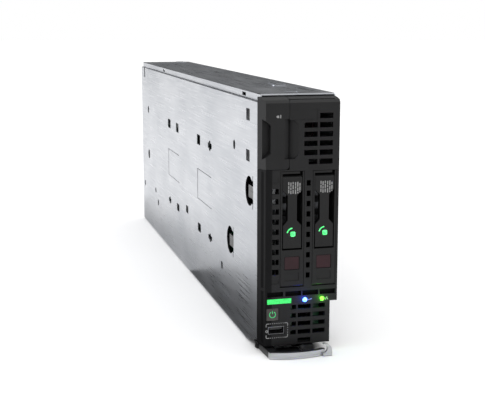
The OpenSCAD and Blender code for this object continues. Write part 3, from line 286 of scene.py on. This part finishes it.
def bezel_black():
    """The bezel's black, with painted shade on its left edge below the tab, where it meets the sheet: darker
    there and with less specular.
    """
    material, tree, place = start_material("textured_bezel_abs")
    pebbles = grain(tree, place, 2800, detail=1.0)
    blotches = grain(tree, place, 60)
    # Painted shade: left of about x -19.7 mm and below about z 129.5 mm, the bevel and the strip are painted
    # darker and duller
    parts = add(tree, "SeparateXYZ", links={"Vector": place})
    below_tab = spread(tree, parts.outputs["Z"], 1.0, 0.0, 0.1293, 0.1297)
    strip = spread(tree, parts.outputs["X"], 1.0, 0.0, -0.0200, -0.0194)
    edge = add(tree, "Math", links={0: strip, 1: below_tab}, operation="MULTIPLY").outputs["Value"]
    face = ramp(tree, blotches, [(0.3, "#121213"), (0.7, "#171718")])
    painted_shade_black = ramp(tree, blotches, [(0.3, "#0c0c0d"), (0.7, "#101011")])
    tone = add(tree, "Mix", links={0: edge, 6: face, 7: painted_shade_black}, data_type="RGBA").outputs[2]
    end_material(tree, {"IOR": 1.5},
                 {"Base Color": tone, "Roughness": spread(tree, pebbles, 0.44, 0.56),
                  "Specular IOR Level": spread(tree, edge, 0.3, 0.12), "Normal": bump(tree, pebbles, 0.02)})
    return material


dress(bezel_black(), "bezel")
dress(moulded_black("inner_moulding_pbt", "#0e0e0f", "#121213", 0.55), "tab_guide", "power_switch",
      "backplane_connectors", "power_stages", "memory_sockets_upper", "memory_sockets_lower",
      "card_connectors", "capacitor_pack", "coin_cell_holder", "signal_connectors",
      "power_connector", "air_baffle_upper",
      "air_baffle_lower")

# ---- Lights, power button and service port ----
# Clear polycarbonate light pipes glow from the board behind them; the button is grey textured plastic,
# and the port has a folded tin-plated shell round a white tongue.


def lit_polycarbonate(name, body, glow, strength):
    """A lit light pipe: coloured plastic with an even glow."""
    material, tree, place = start_material(name)
    cloud = grain(tree, place, 700)
    tone = ramp(tree, cloud, [(0.3, body), (0.7, glow)])
    end_material(tree, {"Roughness": 0.25, "Emission Strength": strength},
                 {"Base Color": tone, "Emission Color": tone})
    return material


dress(lit_polycarbonate("green_light_pipe", "#22b34a", "#38d868", 0.75), "status_bar_lens")
dress(lit_polycarbonate("blue_light_pipe", "#4a9cff", "#9fd4ff", 2.2), "id_lens")
dress(lit_polycarbonate("lime_light_pipe", "#5fe040", "#8cff4c", 1.1), "network_lens")
dress(moulded_black("power_button_abs", "#3c3a38", "#5e5b57", 0.5, 1.2), "power_button")
dress(moulded_black("port_tongue_pbt", "#3c3c3e", "#48484a", 0.5), "front_port_tongue")


def plated_steel(name, dark, light, roughness):
    """Plated, pressed or cast metal: satin grey with slight blotches."""
    material, tree, place = start_material(name)
    blotches = grain(tree, place, 120, detail=3.0)
    tone = ramp(tree, blotches, [(0.3, dark), (0.7, light)])
    end_material(tree, {"Metallic": 1.0},
                 {"Base Color": tone,
                  "Roughness": spread(tree, blotches, roughness - 0.05, roughness + 0.08)})
    return material


dress(plated_steel("tin_plated_shell", "#77787a", "#8c8d90", 0.35), "front_port_shell")
dress(plated_steel("zinc_plated_steel", "#8f9194", "#a6a8ab", 0.35), "rear_grille", "drive_cage",
      "lever_pin", "chassis_screws", "board_standoffs", "heat_sink_screws", "drive_screws_1",
      "drive_screws_2", "coin_cell", "processor_sockets")
dress(plated_steel("bright_catch_steel", "#b4b6b8", "#c8cacc", 0.3), "release_catch")
dress(plated_steel("cast_drive_housing", "#7c7e82", "#8c8e92", 0.45), "drive_1", "drive_2")
dress(plated_steel("extruded_aluminium", "#b4b6b9", "#c4c6c8", 0.35), "heat_sink_front", "heat_sink_rear")

# ---- Release lever ----
# A black arm of coated steel carries a satin stainless bar, whose free end is curled into a finger grip.
# It turns on a pin in a black pressed bracket behind the bezel.


def brushed_stainless():
    """Satin stainless bar: bright, with fine lines along the bar."""
    material, tree, place = start_material("brushed_stainless")
    lines = grain(tree, place, 1500, (0.05, 0.05, 1), 2.0)
    tone = ramp(tree, lines, [(0.3, "#a9aaac"), (0.7, "#c2c3c5")])
    end_material(tree, {"Metallic": 1.0},
                 {"Base Color": tone, "Roughness": spread(tree, lines, 0.22, 0.38),
                  "Normal": bump(tree, lines, 0.01)})
    return material


dress(brushed_stainless(), "lever_grip")
dress(moulded_black("black_coated_steel", "#131314", "#19191a", 0.4), "lever_bracket", "release_lever",
      "catch_rail")

# ---- Drive carriers ----
# Each carrier is moulded in the bezel's black plastic, with a latch lever, a smoked light ring in the
# lever's foot and a burgundy button that frees the lever.

dress(moulded_black("carrier_abs", "#101011", "#151515", 0.45), "drive_carrier_1", "drive_carrier_2",
      "drive_lever_1", "drive_lever_2")
dress(moulded_black("smoked_polycarbonate", "#151816", "#1b1f1c", 0.2), "drive_light_1", "drive_light_2")
dress(moulded_black("burgundy_touch_abs", "#260810", "#2e0b15", 0.35), "drive_button_1", "drive_button_2",
      "cover_button")

# ---- Latch heads, lights and marks of the drive levers ----
# Each lever's head rolls over its pivot with a rounded top edge. In its foot a green arc and a green square
# glow, and a block of fine pale strokes is printed on the head, drawn here as plain dashes.

BAY_X = (-5.35, 17.55)
LEVER_PIVOT = (4.2, 120.4)
HEAD_RADIUS = 5.2
HEAD_TOP = 123.82
HEAD_HALF = 6.8
PRINT_TOP = 120.9
PRINT_LAYER = (0.12, 0.19)
PRINT_HALF = 0.4
PRINT_COLUMNS = (-3.7, -2.2, -0.6, 1.1, 2.7, 4.2)
PRINT_DASHES = ((0.0, 2.1, 2.6, 4.9, 5.3, 7.6), (0.3, 3.2, 3.7, 5.4, 5.9, 8.2),
                (0.0, 1.6, 2.1, 5.0, 5.5, 8.0), (0.2, 2.6, 3.0, 4.6, 5.2, 8.3),
                (0.0, 3.4, 3.9, 6.4, 6.9, 7.9), (0.9, 2.7, 3.2, 6.1, 6.6, 7.2))


def prism(outline, low, high, axis="y", edge=0.0):
    """A bar with outline as its section, from low to high along axis, its end edges taken in by edge.

    Sizes are millimetres behind the bezel's front face; the outline is (y, z), (x, z) or (x, y).
    """
    flat = np.asarray(outline, float)
    middle = flat.mean(0)
    reach = np.linalg.norm(flat - middle, axis=1).mean()
    inner = middle + (flat - middle) * (1 - edge / reach)
    stations = [(low, flat), (high, flat)]
    if edge:
        stations = [(low, inner), (low + edge, flat), (high - edge, flat), (high, inner)]
    columns = {"x": (1, 2), "y": (0, 2), "z": (0, 1)}[axis]
    rings = []
    for level, ring in stations:
        points = np.full((len(ring), 3), float(level))
        points[:, columns] = ring
        rings.append(points)
    count = len(flat)
    sides = [(k * count + i, k * count + (i + 1) % count,
              (k + 1) * count + (i + 1) % count, (k + 1) * count + i)
             for k in range(len(rings) - 1) for i in range(count)]
    caps = [range(count - 1, -1, -1), range((len(rings) - 1) * count, len(rings) * count)]
    return np.concatenate(rings), sides + caps


def joined(name, bars, material, body):
    """One piece from several bars, in the blade's own frame, that rides on a CAD body."""
    vertices, faces, start = [], [], 0
    for points, sides in bars:
        vertices.append(points)
        faces += [[start + i for i in side] for side in sides]
        start += len(points)
    piece = mesh_object(name, (np.concatenate(vertices) + [0, BEZEL_FACE, 0]) / 1000, faces)
    turned = bmesh.new()
    turned.from_mesh(piece.data)
    bmesh.ops.recalc_face_normals(turned, faces=turned.faces)
    turned.to_mesh(piece.data)
    turned.free()
    piece.data.materials.append(material)
    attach(piece, body)


def rectangle(low, high):
    """The corners of an upright rectangle."""
    return [(low[0], low[1]), (high[0], low[1]), (high[0], high[1]), (low[0], high[1])]


def ring_section(middle, inner, outer, start, end, steps):
    """The outline of an arc of a flat ring, in degrees from the +X side."""
    angles = np.radians(np.linspace(start, end, steps))
    arc = np.stack([np.cos(angles), np.sin(angles)], 1)
    return np.concatenate([middle + outer * arc, middle + inner * arc[::-1]])


latch_green = lit_polycarbonate("latch_light", "#1fbf52", "#62e88c", 1.0)
pale_print = moulded_black("pale_pad_print", "#808080", "#989898", 0.6)
lever_black = bpy.data.materials["carrier_abs"]
rise = math.degrees(math.asin((HEAD_TOP - LEVER_PIVOT[1]) / HEAD_RADIUS))
head_angles = np.radians(np.linspace(rise, 90, 9))
head_section = [(LEVER_PIVOT[0] - HEAD_RADIUS * math.cos(a), LEVER_PIVOT[1] + HEAD_RADIUS * math.sin(a))
                for a in head_angles] + [(LEVER_PIVOT[0], HEAD_TOP)]
for number, x in enumerate(BAY_X, 1):
    body = f"carrier_lever_{number}"
    joined(f"latch_head_{number}", [prism(head_section, x - HEAD_HALF, x + HEAD_HALF, "x", 0.1)],
           lever_black, body)
    middle = np.array([x + 0.5, 84.9])
    corner = np.radians(np.arange(0, 360, 15))
    square = [middle + 1.75 * np.sign([math.cos(a), math.sin(a)]) * np.abs([math.cos(a), math.sin(a)]) ** 0.5
              for a in corner]
    joined(f"latch_light_{number}", [prism(square, -0.06, 0.09, edge=0.04),
                                     prism(ring_section(middle, 3.75, 4.55, 96, 166, 15), 0.04, 0.19)],
           latch_green, body)
    strokes = []
    for column, marks in zip(PRINT_COLUMNS, PRINT_DASHES):
        for low, high in zip(marks[::2], marks[1::2]):
            across = x + 1.0 + column
            strokes.append(prism(rectangle((across - PRINT_HALF, PRINT_TOP - high),
                                           (across + PRINT_HALF, PRINT_TOP - low)), *PRINT_LAYER))
    joined(f"latch_print_{number}", strokes, pale_print, body)

# ---- Marks on the power button, the port, the lights and the tab ----
# Thin pad-printed marks 0.05 mm high: the standby ring glows green on the button, a dashed frame with solid
# corners runs round the service port, and small pale signs stand beside the lights and on the tab.

MARK_LAYER = (-0.05, -0.005)
RING_LAYER = (0.32, 0.39)
POWER_MIDDLE = np.array([-18.9, 28.8])
joined("power_ring", [prism(ring_section(POWER_MIDDLE, 1.9, 2.4, 120, 420, 40), *RING_LAYER),
                      prism(rectangle(POWER_MIDDLE + (-0.22, 0.5), POWER_MIDDLE + (0.22, 2.7)), *RING_LAYER)],
       lit_polycarbonate("standby_ring", "#2f9a55", "#48c878", 0.35), "power_button")

FRAME_LOW = (-23.8, 11.9)
FRAME_HIGH = (-7.8, 22.7)
LINE = 0.5
frame_bars = []
for x, turn_x in ((FRAME_LOW[0], 1), (FRAME_HIGH[0], -1)):
    for z, turn_z in ((FRAME_LOW[1], 1), (FRAME_HIGH[1], -1)):
        middle = np.array([x + turn_x * 1.1, z + turn_z * 1.1])
        start = {(1, 1): 180, (-1, 1): 270, (-1, -1): 0, (1, -1): 90}[(turn_x, turn_z)]
        frame_bars.append(prism(ring_section(middle, 0.6, 1.1, start, start + 90, 9), *MARK_LAYER))
        across = sorted((x + turn_x * 1.1, x + turn_x * 2.6))
        along = sorted((z, z + turn_z * LINE))
        frame_bars.append(prism(rectangle((across[0], along[0]), (across[1], along[1])), *MARK_LAYER))
        across = sorted((x, x + turn_x * LINE))
        along = sorted((z + turn_z * 1.1, z + turn_z * 2.5))
        frame_bars.append(prism(rectangle((across[0], along[0]), (across[1], along[1])), *MARK_LAYER))
for x in np.linspace(-20.3, -11.3, 7):
    for z in (FRAME_LOW[1], FRAME_HIGH[1] - LINE):
        frame_bars.append(prism(rectangle((x - 0.3, z), (x + 0.3, z + LINE)), *MARK_LAYER))
for z in (15.6, 17.3, 19.0):
    upright = rectangle((FRAME_HIGH[0] - LINE, z - 0.3), (FRAME_HIGH[0], z + 0.3))
    frame_bars.append(prism(upright, *MARK_LAYER))
frame_bars.append(prism(ring_section(np.array([-23.1, 17.1]), 0.5, 0.95, 0, 350, 18), *MARK_LAYER))
# Signs beside the identification and network lights
frame_bars += [prism([(6.4, 37.5), (9.3, 38.1), (9.3, 38.7), (6.4, 38.1)], *MARK_LAYER),
               prism([(18.9, 37.0), (19.5, 37.0), (20.1, 38.3), (20.7, 37.0), (21.3, 37.0), (20.4, 39.1),
                      (19.8, 39.1)], *MARK_LAYER)]
joined("front_marks", frame_bars, pale_print, "chassis")
joined("tab_mark", [prism([(-17.2, 165.2), (-16.4, 164.4), (-15.2, 164.4), (-15.2, 166.0), (-16.4, 166.0)],
                          *MARK_LAYER),
                    prism(rectangle((-14.4, 164.2), (-13.8, 166.4)), *MARK_LAYER)], pale_print, "info_tab")

# ---- Painted-shade linings behind the bezel ----
# Painted shade: a folded near-black sheet lines the stepped corner, where the blade shows only shade, so that
# no daylight shows through the right-hand slots. Near-black strips stand for the shade behind the four blind
# windows, and another closes the bezel's bevel from inside.

# Painted shade: a near-black sheet that stands in for the dark inside of the blade
shade_liner = moulded_black("painted_shade_liner", "#040405", "#070708", 0.7, sheen=0.1)
joined("corner_shade_lining", [prism(rectangle((21.4, 6.6), (22.3, 36.3)), 9.3, 41.9),
                         prism(rectangle((21.4, 36.3), (26.2, 37.1)), 9.3, 41.9),
                         prism(rectangle((19.45, 5.5), (22.3, 6.3)), 9.3, 40.9),
                         prism(rectangle((22.35, 1.2), (26.2, 36.25)), 41.1, 41.9)], shade_liner, "chassis")
bevel_strip = [(-25.05, 2.05), (-26.15, 4.95), (-26.15, 5.9), (-24.9, 5.9), (-23.6, 2.05)]
joined("bevel_shade_lining", [prism(bevel_strip, low, high, "z") for low, high in ((8.2, 45.3), (47.7, 128.1))],
       shade_liner, "chassis")
joined("window_shade_backs", [prism(rectangle((x - 0.2, 41.0), (x + 11.6, 44.9)), 2.05, 2.7)
                        for x in (-22.8, -9.9, 2.5, 14.7)], shade_liner, "chassis")

# ---- Floor of the release lever ----
# A black pressed plate fills the lever between its arm and the bright bar, and stops short of the catch.

BAR_MIDDLE = (-3.0, 42.68)
FLOOR_REACH = 51.45
front_x = np.linspace(14.6, -17.3, 30)
front_arc = [(x, BAR_MIDDLE[1] - math.sqrt(FLOOR_REACH ** 2 - (x - BAR_MIDDLE[0]) ** 2)) for x in front_x]
floor_outline = front_arc + [(-17.3, 7.0), (1.2, 7.0), (1.2, -2.0), (14.6, -2.0)]
joined("lever_floor", [prism(floor_outline, 0.45, 1.95, "z")],
       bpy.data.materials["black_coated_steel"], "release_lever")

# ---- Boards ----
# Glass-epoxy boards under green solder mask, whose copper shows as faint lighter runs.


def solder_mask(name, dark, light):
    """Glass-epoxy laminate under green solder mask, with runs of copper under it."""
    material, tree, place = start_material(name)
    runs = grain(tree, place, 600, (1, 0.15, 1), 2.0)
    tone = ramp(tree, runs, [(0.42, dark), (0.58, light)])
    end_material(tree, {"Roughness": 0.3, "IOR": 1.5}, {"Base Color": tone, "Normal": bump(tree, runs, 0.03)})
    return material


dress(solder_mask("board_solder_mask", "#123a27", "#1d4f37"), "system_board", "front_panel_board",
      "drive_backplane", "network_adapter", "storage_controller", "mezzanine_card_upper",
      "mezzanine_card_lower",
      "memory_modules_upper", "memory_modules_lower")
